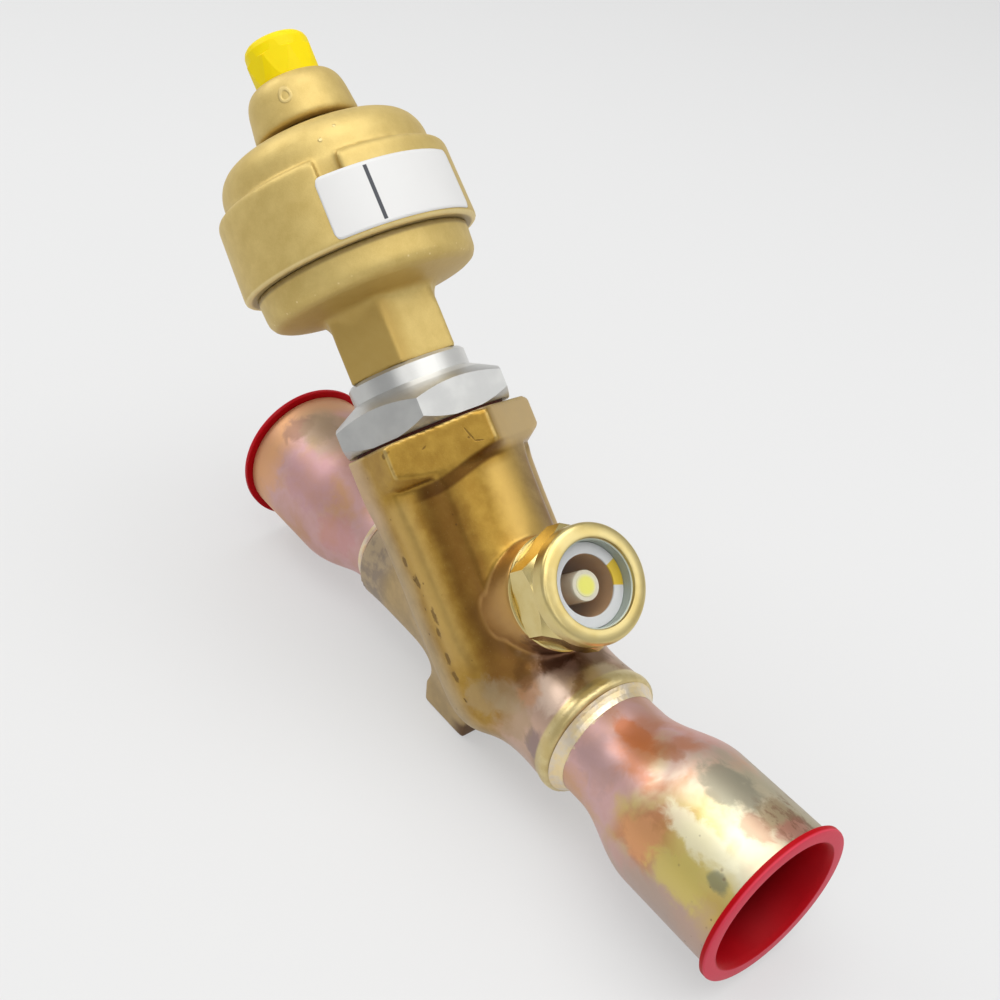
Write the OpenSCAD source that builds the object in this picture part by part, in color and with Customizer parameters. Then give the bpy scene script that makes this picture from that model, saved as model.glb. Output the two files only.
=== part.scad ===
// Electronic expansion valve: angled stepper actuator on a forged body with a sight glass.
// Origin at the centre of the inlet tube mouth, X along the pipe line towards the outlet, Z up, mm.

/* [Pipe line] */
// inlet mouth to outlet mouth
line_len = 184.5; // [160:1:240]
// inlet mouth to the crossing of pipe axis and actuator axis
cross_x = 101.5; // [95:0.5:125]
// outside radius of the flared tube ends
tube_r = 19; // [17:0.1:23]
// wall of the copper tubes
tube_wall = 1.45; // [1:0.05:2]
// outside radius of the narrow part of the tubes
neck_r = 14; // [13:0.1:14.3]
// depth of the pipe socket in each tube end
socket_depth = 24; // [20:0.5:30]
// length of the flare from socket to neck
flare_len = 21; // [12:0.5:22]

/* [Transport caps] */
// radius of the cap flange beyond the tube
cap_lip = 1.7; // [0.8:0.1:3]
// thickness of the cap flange
cap_flange = 1.7; // [1.2:0.1:3]
// depth of the cap plug in the tube
cap_depth = 14; // [8:0.5:18]
// wall of the cap plug
cap_wall = 0.9; // [0.8:0.1:2]
// radial gap between a cap plug and its tube
cap_gap = 0.3; // [0.2:0.05:0.6]

/* [Valve body] */
// lean of the actuator from the vertical
lean = 45; // [45:1:45]
// outside radius of the barrel
barrel_r = 21.3; // [20:0.1:24]
// depth of the flutes beside the front of the barrel
flute_d = 2.6; // [1:0.1:3]
// radius of the flutes
flute_r = 10; // [8:0.5:14]
// bore the piston slides in
guide_r = 15; // [14:0.1:16]
// rear socket outside radius
rear_socket_r = 15.6; // [15.4:0.1:18]
// front socket outside radius
front_socket_r = 16.6; // [16:0.1:18]
// rear socket reach from the crossing
rear_reach = 51; // [46:0.5:56]
// front socket reach from the crossing
front_reach = 29; // [27:0.5:34]
// flow bore through the sockets
flow_r = 12.5; // [10:0.1:12.6]
// how far each tube enters its socket
tube_entry = 10; // [6:0.5:10]
// top face of the body hexagon above the crossing
hex_top = 61.4; // [60:0.1:64]
// body hexagon across flats
hex_af = 44; // [43:0.5:48]
// body hexagon height
hex_h = 8; // [6:0.1:9]
// foot bottom below the pipe axis
foot_drop = 24.2; // [23:0.1:27]
// foot length along the pipe
foot_l = 16.5; // [12:0.5:20]
// foot width
foot_w = 28.4; // [22:0.2:32]

/* [Sight glass] */
// sight axis height on the actuator axis
sight_h = 15.5; // [15:0.1:17]
// boss radius
boss_r = 13.4; // [13:0.1:15]
// boss end along the sight axis
boss_end = 27.2; // [26:0.1:30]
// fitting hexagon across flats
fitting_af = 27; // [26:0.5:29]
// fitting ring radius
ring_r = 13.9; // [13.3:0.1:14.5]
// glass radius
glass_r = 9.75; // [9.2:0.05:10.2]
// glass thickness
glass_t = 2.8; // [2:0.1:3.4]
// window radius
window_r = 7.1; // [6.4:0.1:7.4]

/* [Actuator] */
// union nut across flats
nut_af = 42; // [41:0.5:44]
// neck hexagon across flats
neck_af = 26.5; // [26:0.5:29]
// main drum radius at its lower rim
drum_r = 30.3; // [28:0.1:32]
// main drum height
drum_h = 20.6; // [19:0.1:23]
// draft of the main drum from rim to upper edge
drum_draft = 0.6; // [0.5:0.1:1.8]
// step in from the drum rim to the lower flange
flange_step = 2.9; // [2:0.1:3.2]
// step in from the drum rim to the upper drum
upper_step = 3.7; // [3.2:0.1:4.4]
// height of the upper drum with its crown
crown_rise = 11.1; // [11:0.1:14]
// wall of the upper drum
shell = 3.3; // [2.5:0.1:3.6]
// neck hexagon height
neck_h = 15.6; // [14:0.1:18]
// lower flange height
bowl_h = 12; // [11.5:0.1:14]
// height of the motor
motor_h = 21; // [20:0.1:21.4]
// bore of the stator poles
pole_r = 12.2; // [11:0.1:12.6]
// connector collar radius
collar_r = 13.4; // [12.6:0.1:14]
// connector collar height
collar_rise = 12.4; // [11.5:0.1:14]
// connector stem radius
stem_r = 5.9; // [5.6:0.1:6]
// connector cap across flats
cap_af = 16.3; // [15.2:0.1:16.6]
// connector cap height
cap_rise = 11; // [10.4:0.1:12]
// label sweep round the drum
label_sweep = 76; // [50:1:100]
// label height
label_h = 14.4; // [8:0.2:16]
// valve stroke
stroke = 17; // [10:0.5:17]

/* [Gear train] */
// gear module
gear_m = 0.5; // [0.45:0.01:0.5]
// teeth of the wheels
wheel_n = 38; // [38:1:38]
// teeth of the pinions
pinion_n = 13; // [13:1:13]
// tooth play at the pitch circle
tooth_play = 0.2; // [0.15:0.01:0.25]

/* [Clearances] */
// radial gap of fixed round seats
seat_gap = 0.04; // [0.02:0.01:0.08]
// radial gap of running fits
run_gap = 0.05; // [0.03:0.01:0.09]
// free gap between moving round faces
free_gap = 0.4; // [0.3:0.05:0.6]
// lift of the closed cone from its seat
seat_lift = 0.1; // [0.05:0.01:0.2]

/* [Hidden] */
$fn = 96;
bore_r = tube_r - tube_wall;
rear_x = cross_x - rear_reach;
front_x = cross_x + front_reach;
outlet_depth = line_len - front_x + tube_entry;
inlet_depth = rear_x + tube_entry;
// heights along the actuator axis, from the crossing
floor_h = 8;
seat_h0 = 2;
nipple_h = hex_top + 5.4;
nut_h0 = hex_top + 0.8;
nut_bore_h = nut_h0 + 7.3;
collar_h = nut_h0 + 11.4;
nut_top = nut_h0 + 16.2;
spigot_h = floor_h + seat_lift + stroke + 33;
neck_top = nut_top + neck_h;
flange_top = neck_top + bowl_h;
plate_h0 = flange_top + 2;
stator_h0 = plate_h0 + 1.5;
stator_h1 = stator_h0 + motor_h;
drum_top = flange_top + drum_h;
crown_h = drum_top + crown_rise;
stub_h = crown_h + 3.1;
conn_top = stub_h + collar_rise;
stem_top = conn_top + cap_rise - 2;
gear_h0 = flange_top - 5.5;
// radii shared by mating pieces
nipple_r = guide_r + 2.5;
nut_bore_r = nipple_r + 0.1;
lip_r = 12.7;
flange_r = drum_r - flange_step;
drum_top_r = drum_r - drum_draft;
drum_mid_r = drum_r - 0.4 * drum_draft;
upper_r = drum_r - upper_step;
cavity_r = upper_r - 1.8;
housing_bore_r = cavity_r + 1;
stator_r = upper_r - shell - 0.3;
insert_r = stem_r - 1.6;
pitch_wheel = gear_m * wheel_n / 2;
pitch_pinion = gear_m * pinion_n / 2;
centre_d = pitch_wheel + pitch_pinion;
spindle_r = 4;
shaft_r = 1.5;
pin_r = 1;
seat_r = 10.5;
ring_front = boss_end + 15.1;
glass_back = ring_front - glass_t - 1;

// actuator frame: Z up the actuator axis, X along the sight direction
module on_axis() {
  translate([cross_x, 0, 0])
    rotate([0, -lean, 0])
      children();
}

// sight frame: Z out through the sight glass
module on_sight() {
  translate([cross_x, 0, 0])
    rotate([0, -lean, 0])
      translate([0, 0, sight_h])
        rotate([0, 90, 0])
          children();
}

module along_inlet() {
  rotate([0, 90, 0])
    children();
}

module along_outlet() {
  translate([line_len, 0, 0])
    rotate([0, -90, 0])
      children();
}

module lathe(points) {
  rotate_extrude()
    polygon(points);
}

module hexagon(af, h) {
  cylinder(r = af / 2 / cos(30), h = h, $fn = 6);
}

// ring between two radii
module band(r0, r1, h) {
  difference() {
    cylinder(r = r1, h = h);
    translate([0, 0, -1])
      cylinder(r = r0, h = h + 2);
  }
}

module gear_disc(n, h) {
  rp = gear_m * n / 2;
  ro = rp + 0.85 * gear_m;
  ri = rp - 1.15 * gear_m;
  half = (PI * gear_m / 2 - tooth_play) / 2 / rp * 180 / PI;
  tip = half * 0.45;
  root = half * 1.35;
  step = 360 / n;
  points = [for (i = [0 : n - 1])
    for (p = [[ri, -root], [rp, -half], [ro, -tip], [ro, tip], [rp, half], [ri, root]])
      [p[0] * cos(i * step + p[1]), p[0] * sin(i * step + p[1])]];
  linear_extrude(height = h)
    polygon(points);
}

// flow tube with a socket at its mouth, a smooth flare and a narrow neck
function flare(t) = neck_r + (tube_r - neck_r) * (1 + cos(180 * t)) / 2;
module tube(depth) {
  f0 = socket_depth + 1.5;
  n = 16;
  outer = [for (i = [0 : n]) [flare(i / n), f0 + flare_len * i / n]];
  inner = [for (i = [0 : n]) [flare(1 - i / n) - tube_wall, f0 + flare_len * (n - i) / n]];
  points = concat(
    [[bore_r, 0], [tube_r, 0]],
    outer,
    [[neck_r, depth], [neck_r - tube_wall, depth]],
    inner,
    [[bore_r, socket_depth + 0.9]]
  );
  lathe(points);
}

module transport_cap() {
  r = bore_r - cap_gap;
  lip = tube_r + cap_lip;
  points = [
    [0, cap_depth - cap_wall],
    [r - cap_wall - 1.2, cap_depth - cap_wall],
    [r - cap_wall + 0.25, -cap_flange],
    [lip - 0.5, -cap_flange],
    [lip, -cap_flange + 0.5],
    [lip, -0.25],
    [lip - 0.2, -0.05],
    [r, -0.05],
    [r - 0.5, cap_depth - 1],
    [r - 1.3, cap_depth],
    [0, cap_depth]
  ];
  lathe(points);
}

module braze_ring(edge_r) {
  r = neck_r + seat_gap;
  points = [
    [r, 0],
    [edge_r, 0],
    [r + (edge_r - r) * 0.6, 0.7],
    [r + (edge_r - r) * 0.25, 1.6],
    [r, 2.8]
  ];
  lathe(points);
}

// the space on one side of a plane square to the actuator axis
module above(h) {
  on_axis()
    translate([-70, -70, h])
      cube([140, 140, 140]);
}

module below(h) {
  on_axis()
    translate([-70, -70, h - 140])
      cube([140, 140, 140]);
}

module body_shell() {
  on_axis() {
    difference() {
      lathe([[0, -13], [14, -13], [17.2, -12], [19.5, -9.6], [barrel_r, -5], [barrel_r, hex_top - 24],
             [barrel_r + 0.5, hex_top - hex_h - 2], [barrel_r + 0.5, hex_top], [0, hex_top]]);
      for (side = [-1, 1])
        rotate(52 * side)
          translate([barrel_r - flute_d + flute_r, 0, -20])
            cylinder(r = flute_r, h = hex_top - hex_h + 18);
    }
    intersection() {
      rotate(3)
        translate([0, 0, hex_top - hex_h - 3])
          hexagon(hex_af, hex_h + 3);
      lathe([[0, hex_top - hex_h - 3], [hex_af / 2 - 0.8, hex_top - hex_h - 3],
             [hex_af / 2 + 4, hex_top - hex_h + 0.6], [hex_af / 2 + 4, hex_top - 1.2],
             [hex_af / 2 + 1.8, hex_top], [0, hex_top]]);
      translate([-5, -50, 0])
        cube([100, 100, 100]);
    }
    translate([0, 0, hex_top - 1])
      cylinder(r = nipple_r, h = nipple_h - hex_top + 1);
  }
  translate([rear_x, 0, 0])
    rotate([0, 90, 0])
      lathe([[0, 0], [rear_socket_r - 0.5, 0], [rear_socket_r, 0.5], [rear_socket_r, rear_reach],
             [0, rear_reach]]);
  translate([front_x, 0, 0])
    rotate([0, -90, 0])
      lathe([[0, 0], [front_socket_r - 0.6, 0], [front_socket_r + 0.3, 0.6],
             [front_socket_r + 0.6, 1.8], [front_socket_r + 0.3, 3.2], [front_socket_r, 4],
             [front_socket_r, front_reach], [0, front_reach]]);
  on_sight()
    lathe([[0, 0], [boss_r + 0.6, 0], [boss_r + 0.3, boss_end - 5], [boss_r, boss_end - 1],
           [boss_r - 0.6, boss_end], [0, boss_end]]);
  translate([cross_x - 4.9 - foot_l, -foot_w / 2, -foot_drop])
    cube([foot_l, foot_w, foot_drop - 6]);
}

module valve_body() {
  color("#b08d3e")
    difference() {
      body_shell();
      // inlet and outlet flow bores stop at the seat wall
      intersection() {
        translate([rear_x, 0, 0])
          rotate([0, 90, 0])
            cylinder(r = flow_r, h = rear_reach + 25);
        above(floor_h);
      }
      intersection() {
        translate([front_x - front_reach - 25, 0, 0])
          rotate([0, 90, 0])
            cylinder(r = flow_r, h = front_reach + 25);
        below(0);
      }
      translate([rear_x - 1, 0, 0])
        rotate([0, 90, 0])
          cylinder(r = neck_r + seat_gap, h = tube_entry + 1);
      translate([front_x + 1, 0, 0])
        rotate([0, -90, 0])
          cylinder(r = neck_r + seat_gap, h = tube_entry + 1);
      on_axis() {
        translate([0, 0, -1])
          cylinder(r = seat_r + 0.5, h = floor_h);
        translate([0, 0, seat_h0])
          cylinder(r = seat_r + 3, h = 30);
        translate([0, 0, floor_h])
          cylinder(r = guide_r + 1.5, h = 16);
        translate([0, 0, floor_h])
          cylinder(r = guide_r, h = nipple_h);
      }
      on_sight()
        cylinder(r = glass_r - 0.25, h = boss_end + 1);
    }
}

module seat_ring() {
  color("#c9a24d")
    on_axis()
      lathe([[seat_r, seat_h0], [seat_r + 3 - seat_gap, seat_h0], [seat_r + 3 - seat_gap, floor_h],
             [seat_r + 0.6, floor_h], [seat_r, floor_h - 0.6]]);
}

module inlet_tube() {
  color("#c98a6b")
    along_inlet()
      tube(inlet_depth);
}

module outlet_tube() {
  color("#c98a6b")
    along_outlet()
      tube(outlet_depth);
}

module inlet_braze() {
  color("#e6d6bd")
    translate([rear_x, 0, 0])
      rotate([0, -90, 0])
        braze_ring(rear_socket_r - 0.5);
}

module outlet_braze() {
  color("#e6d6bd")
    translate([front_x, 0, 0])
      rotate([0, 90, 0])
        braze_ring(front_socket_r - 0.6);
}

module inlet_cap() {
  color("#c8281e")
    along_inlet()
      transport_cap();
}

module outlet_cap() {
  color("#c8281e")
    along_outlet()
      transport_cap();
}

module sight_fitting() {
  base = boss_end + 0.6;
  thread_r = glass_r - 0.25 - seat_gap;
  washer_r = fitting_af / 2 - 0.3;
  color("#d4ad45")
    on_sight()
      difference() {
        union() {
          lathe([[0, guide_r + 2.5], [thread_r, guide_r + 2.5], [thread_r, base], [washer_r - 0.4, base],
                 [washer_r, base + 0.4], [washer_r, base + 1.5], [0, base + 1.5]]);
          intersection() {
            translate([0, 0, base + 1.5])
              rotate(10)
                hexagon(fitting_af, 8);
            lathe([[0, base], [washer_r, base], [fitting_af / 2 + 2.3, base + 2.4],
                   [fitting_af / 2 + 2.3, base + 8.1], [ring_r, base + 9.5], [0, base + 9.5]]);
          }
          translate([0, 0, base + 8])
            lathe([[0, 0], [ring_r - 0.6, 0], [ring_r - 0.6, 1.4], [ring_r, 2], [ring_r, 5.6],
                   [ring_r - 1, ring_front - base - 8], [0, ring_front - base - 8]]);
        }
        cylinder(r = window_r, h = 60);
        translate([0, 0, glass_back - 0.5])
          lathe([[0, 0], [glass_r + seat_gap, 0], [glass_r + seat_gap, glass_t + 0.5],
                 [glass_r + 0.75, glass_t + 1.5], [glass_r + 0.75, glass_t + 4], [0, glass_t + 4]]);
      }
}

module sight_seal() {
  color("#8a6a2a")
    on_sight()
      translate([0, 0, boss_end])
        band(glass_r, boss_r - 0.8, 0.6);
}

module sight_glass() {
  color("#d8e4e0")
    on_sight()
      lathe([[0, glass_back], [glass_r, glass_back], [glass_r, glass_back + glass_t - 0.3],
             [glass_r - 0.3, glass_back + glass_t], [0, glass_back + glass_t]]);
}

module indicator_ring() {
  color("#f1f1ee")
    on_sight()
      translate([0, 0, glass_back - 0.5])
        band(window_r, glass_r - seat_gap, 0.5);
}

module indicator_stem() {
  color("#e2dcc4")
    on_sight() {
      translate([0, 0, guide_r + 6])
        cylinder(r = window_r / 2, h = glass_back - guide_r - 6.7);
      translate([-1, -window_r + 0.15, guide_r + 6])
        cube([2, 2 * window_r - 0.3, 2]);
      translate([-window_r + 0.15, -1, guide_r + 6])
        cube([2 * window_r - 0.3, 2, 2]);
    }
}

module indicator_dot() {
  color("#e3e06a")
    on_sight()
      translate([0, 0, glass_back - 0.7])
        cylinder(r = window_r / 3, h = 0.2);
}

module body_gasket() {
  color("#7c3a2c")
    on_axis()
      translate([0, 0, hex_top])
        band(nipple_r + seat_gap, nipple_r + 1.7, nut_h0 - hex_top);
}

module union_nut() {
  color("#c3c9cf")
    on_axis()
      difference() {
        union() {
          intersection() {
            rotate(-30)
              translate([0, 0, nut_h0])
                hexagon(nut_af, 14);
            lathe([[0, nut_h0], [nut_af / 2 + 0.3, nut_h0], [nut_af / 2 + 3.6, nut_h0 + 2.4],
                   [nut_af / 2 + 3.6, nut_h0 + 6.3], [lip_r + 2.5, collar_h], [0, collar_h]]);
          }
          lathe([[0, nut_h0 + 5], [lip_r + 2.5, nut_h0 + 5], [lip_r + 2.5, nut_top - 0.8],
                 [lip_r + 1.7, nut_top], [0, nut_top]]);
        }
        translate([0, 0, nut_h0 - 1])
          cylinder(r = nut_bore_r, h = nut_bore_h - nut_h0 + 1);
        cylinder(r = lip_r, h = nut_top + 1);
      }
}

module spigot_seal() {
  color("#2a2a2c")
    on_axis()
      translate([0, 0, spigot_h + 2.5 + seat_gap / 2])
        band(guide_r - 1.7 + seat_gap, guide_r - seat_gap, 1.9 - seat_gap);
}

module actuator_base() {
  r0 = guide_r - run_gap;
  way_r = 7 + free_gap;
  color("#c8b37a")
    on_axis()
      difference() {
        union() {
          lathe([[0, spigot_h], [r0 - 0.5, spigot_h], [r0, spigot_h + 0.5], [r0, nipple_h],
                 [nipple_r - 0.3, nipple_h], [nipple_r - 0.3, nut_bore_h - 0.1],
                 [lip_r - 0.15, nut_bore_h - 0.1], [lip_r - 0.15, neck_top], [0, neck_top]]);
          rotate(-30)
            translate([0, 0, nut_top + 0.1])
              hexagon(neck_af, neck_top - nut_top);
          lathe([[0, neck_top - 1.4], [13.6, neck_top - 1.4], [14, neck_top - 0.2], [14.6, neck_top + 0.9],
                 [16.2, neck_top + 1.6], [flange_r - 3, neck_top + 3.2],
                 [flange_r - 1.4, neck_top + 4], [flange_r - 0.5, neck_top + 5.4],
                 [flange_r - 0.3, neck_top + 6.6], [flange_r, flange_top],
                 [housing_bore_r - seat_gap, flange_top], [housing_bore_r - seat_gap, plate_h0],
                 [0, plate_h0]]);
        }
        translate([0, 0, gear_h0 - 1])
          cylinder(r = cavity_r, h = 20);
        translate([0, 0, gear_h0 - 7.5])
          cylinder(r = 9.5, h = 10);
        translate([0, 0, spigot_h - 1])
          cylinder(r = way_r, h = 60);
        translate([0, centre_d, gear_h0 - 3])
          cylinder(r = pin_r + seat_gap, h = 10);
        // groove of the spigot seal
        translate([0, 0, spigot_h + 2.5])
          band(guide_r - 1.7, guide_r + 2, 1.9);
      }
}

module spindle_bearing() {
  h0 = gear_h0 - 7.5;
  color("#9aa0a6")
    on_axis()
      lathe([[spindle_r + run_gap, h0], [9.5 - seat_gap, h0], [9.5 - seat_gap, h0 + 5], [8, h0 + 5],
             [8, h0 + 4.5], [6, h0 + 4.5], [6, h0 + 5], [spindle_r + run_gap, h0 + 5]]);
}

module spindle() {
  tail = floor_h + seat_lift + 36;
  color("#a9adb2")
    on_axis() {
      translate([0, 0, tail])
        cylinder(r = spindle_r, h = gear_h0 + 0.2 - tail);
      translate([0, 0, gear_h0 - 1])
        cylinder(r = 2, h = 3.6);
    }
}

module output_gear() {
  color("#d8cfa8")
    on_axis()
      translate([0, 0, gear_h0 + 0.2])
        difference() {
          rotate(-90 + 180 / wheel_n)
            gear_disc(wheel_n, 2.2);
          translate([0, 0, -1])
            cylinder(r = 2 + seat_gap, h = 5);
        }
}

module idler_gear() {
  color("#e0d9bb")
    on_axis()
      translate([0, centre_d, gear_h0 - 0.3])
        difference() {
          union() {
            rotate(-90)
              gear_disc(pinion_n, 3.4);
            translate([0, 0, 3.4])
              rotate(-90)
                gear_disc(wheel_n, 2.4);
          }
          translate([0, 0, -1])
            cylinder(r = pin_r + run_gap, h = 12);
        }
}

module idler_pin() {
  color("#8f959b")
    on_axis()
      translate([0, centre_d, gear_h0 - 3])
        cylinder(r = pin_r, h = plate_h0 + 1.5 - gear_h0 + 3);
}

module gear_plate() {
  color("#b9bdc1")
    on_axis()
      difference() {
        translate([0, 0, plate_h0])
          cylinder(r = housing_bore_r - 0.3, h = 1.5);
        translate([0, 0, plate_h0 - 1])
          cylinder(r = shaft_r + run_gap, h = 4);
        translate([0, centre_d, plate_h0 - 1])
          cylinder(r = pin_r + seat_gap, h = 4);
      }
}

module stator() {
  r = stator_r;
  color("#9da2a6")
    on_axis() {
      translate([0, 0, stator_h0])
        band(r - 1.4, r, motor_h);
      translate([0, 0, stator_h0])
        band(pole_r, r, 1.5);
      translate([0, 0, stator_h0 + motor_h / 2 - 0.75])
        band(pole_r, r, 1.5);
      translate([0, 0, stator_h1 - 1.5])
        band(pole_r, r, 1.5);
      for (i = [0 : 11])
        rotate(i * 30)
          translate([pole_r + 0.1, -1, stator_h0])
            cube([0.9, 2, motor_h]);
    }
}

module coil(h) {
  color("#b5652d")
    on_axis()
      translate([0, 0, h])
        band(pole_r + 1.3, stator_r - 1.6, motor_h / 2 - 2.7);
}

module coil_lower() {
  coil(stator_h0 + 1.7);
}

module coil_upper() {
  coil(stator_h0 + motor_h / 2 + 0.95);
}

module end_plate() {
  color("#aeb3b7")
    on_axis()
      translate([0, 0, stator_h1])
        band(shaft_r + run_gap, stator_r - 1.6, 1.4);
}

module rotor_magnet() {
  color("#3d4044")
    on_axis()
      translate([0, 0, stator_h0 + 2])
        band(shaft_r + seat_gap, pole_r - free_gap, motor_h - 4);
}

module rotor_shaft() {
  h0 = gear_h0 + 2.8;
  color("#b4b8bc")
    on_axis() {
      translate([0, 0, h0])
        rotate(90 + 180 / pinion_n)
          gear_disc(pinion_n, 3.8);
      translate([0, 0, h0 + 3])
        cylinder(r = shaft_r, h = stator_h1 + 2.4 - h0 - 3);
    }
}

module motor_housing() {
  cap_h = stator_h1 + 2.4;
  color("#d2c08c")
    on_axis()
      difference() {
        lathe([[housing_bore_r, flange_top], [drum_r - 0.4, flange_top], [drum_r, flange_top + 0.4],
               [drum_mid_r, flange_top + 8], [drum_top_r, drum_top - 1.8],
               [drum_top_r - 0.2, drum_top - 1], [drum_top_r - 0.7, drum_top - 0.35],
               [drum_top_r - 1.4, drum_top],
               [upper_r, drum_top], [upper_r - 0.2, crown_h - 7.2], [upper_r - 0.7, crown_h - 5.2],
               [upper_r - 1.7, crown_h - 3.3], [upper_r - 3.2, crown_h - 1.7],
               [upper_r - 5.2, crown_h - 0.6], [upper_r - 7.6, crown_h - 0.1],
               [upper_r - 10, crown_h],
               [collar_r - 2.7, crown_h], [collar_r - 2.7, stub_h], [collar_r - 5.2 + seat_gap, stub_h],
               [collar_r - 5.2 + seat_gap, cap_h + 1.6], [pole_r + 1.8, cap_h + 1.6],
               [upper_r - 2 * shell, cap_h + 1], [upper_r - shell, cap_h - 2.4],
               [upper_r - shell, drum_top - 2], [housing_bore_r, drum_top - 4]]);
        // notch in the upper step of the main drum
        rotate(-28)
          translate([upper_r + 0.15, -2.8, drum_top - 9])
            cube([10, 5.6, 20]);
      }
}

module label() {
  h0 = flange_top + 1.4;
  h1 = h0 + label_h;
  slope = (drum_mid_r - drum_top_r) / (drum_top - 1.8 - flange_top - 8);
  mid = drum_mid_r;
  low = mid + (drum_r - mid) * (flange_top + 8 - h0) / 7.6;
  high = mid - slope * (h1 - flange_top - 8);
  color("#f3f4f2")
    on_axis()
      rotate(2 - label_sweep / 2)
        rotate_extrude(angle = label_sweep)
          polygon([[low + 0.03, h0], [low + 0.18, h0], [mid + 0.18, flange_top + 8],
                   [high + 0.18, h1], [high + 0.03, h1], [mid + 0.03, flange_top + 8]]);
}

module connector_body() {
  plug_r = collar_r - 5.2;
  color("#cdb981")
    on_axis()
      lathe([[insert_r, stub_h - 4.6], [plug_r, stub_h - 4.6], [plug_r, stub_h], [collar_r - 0.8, stub_h],
             [collar_r - 0.2, stub_h + 0.5], [collar_r, stub_h + 1.2], [collar_r - 0.8, conn_top - 5],
             [collar_r - 1.15, conn_top - 3.5], [collar_r - 1.65, conn_top - 2.2],
             [collar_r - 2.3, conn_top - 1.2], [collar_r - 3.1, conn_top - 0.4],
             [collar_r - 4, conn_top], [stem_r, conn_top],
             [stem_r, stem_top - 0.5], [stem_r - 0.5, stem_top], [insert_r, stem_top]]);
}

module connector_insert() {
  color("#26282b")
    on_axis()
      difference() {
        translate([0, 0, stub_h - 4])
          cylinder(r = insert_r - seat_gap, h = stem_top - 2.4 - stub_h + 4);
        for (i = [0 : 3])
          rotate(45 + i * 90)
            translate([insert_r - 1.9, 0, stub_h - 6])
              cylinder(r = 0.5 + seat_gap, h = 40, $fn = 32);
      }
}

module contact_pin(i) {
  color("#d9b24a")
    on_axis()
      rotate(45 + i * 90)
        translate([insert_r - 1.9, 0, stub_h - 4.4])
          cylinder(r = 0.5, h = stem_top - 1 - stub_h + 4.4, $fn = 32);
}

module contact_pin_1() {
  contact_pin(0);
}

module contact_pin_2() {
  contact_pin(1);
}

module contact_pin_3() {
  contact_pin(2);
}

module contact_pin_4() {
  contact_pin(3);
}

module connector_cap() {
  flat_r = cap_af / 2;
  inner_r = stem_r + free_gap;
  color("#f2d400")
    on_axis()
      translate([0, 0, conn_top + 0.05])
        intersection() {
          lathe([[inner_r, 0], [flat_r - 0.3, 0], [flat_r, 0.3], [flat_r + 0.6, cap_rise - 4.6],
                 [flat_r + 0.1, cap_rise - 4.2], [flat_r, cap_rise - 2], [flat_r - 0.4, cap_rise - 1],
                 [flat_r - 1.1, cap_rise - 0.3], [flat_r - 2, cap_rise],
                 [0, cap_rise], [0, cap_rise - 1.3], [inner_r, cap_rise - 1.3]]);
          rotate(-8.7)
            translate([0, 0, -1])
              cylinder(r = flat_r / cos(22.5), h = cap_rise + 2, $fn = 8);
        }
}

module piston() {
  h0 = floor_h + seat_lift + 4;
  r = guide_r - run_gap;
  color("#cfa94e")
    on_axis()
      lathe([[0, h0], [r - 1.5, h0], [r, h0 + 1.5], [r, h0 + 22], [r - 1.8, h0 + 22], [r - 1.8, h0 + 24],
             [r, h0 + 24], [r, h0 + 27.5], [r - 0.6, h0 + 28], [7, h0 + 28], [7, h0 + 40],
             [spindle_r + free_gap, h0 + 40], [spindle_r + free_gap, h0 + 10], [0, h0 + 10]]);
}

module piston_seal() {
  h0 = floor_h + seat_lift + 26;
  color("#e8e6de")
    on_axis()
      translate([0, 0, h0])
        band(guide_r - run_gap - 1.8 + seat_gap, guide_r - run_gap, 2);
}

module valve_cone() {
  top = floor_h + seat_lift;
  r = seat_r - 0.3;
  color("#bfc4c8")
    on_axis()
      difference() {
        lathe([[0, top + 4], [seat_r + 2.2, top + 4], [seat_r + 2.2, top], [r, top], [r, top - 6],
               [r - 1.6, top - 6], [r - 1.6, top + 1], [0, top + 1]]);
        for (i = [0 : 3])
          rotate(i * 90 + 45)
            translate([0, 0, top - 1])
              rotate([0, 90, 0])
                linear_extrude(height = 30)
                  polygon([[0, 0], [12, -6], [12, 6]]);
      }
}

valve_body();
seat_ring();
inlet_tube();
outlet_tube();
inlet_braze();
outlet_braze();
inlet_cap();
outlet_cap();
sight_fitting();
sight_seal();
sight_glass();
indicator_ring();
indicator_stem();
indicator_dot();
body_gasket();
union_nut();
spigot_seal();
actuator_base();
spindle_bearing();
spindle();
output_gear();
idler_gear();
idler_pin();
gear_plate();
stator();
coil_lower();
coil_upper();
end_plate();
rotor_magnet();
rotor_shaft();
motor_housing();
label();
connector_body();
connector_insert();
contact_pin_1();
contact_pin_2();
contact_pin_3();
contact_pin_4();
connector_cap();
piston();
piston_seal();
valve_cone();
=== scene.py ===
import math

import bmesh
import bpy
import numpy as np
from mathutils import Matrix, Vector


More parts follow.
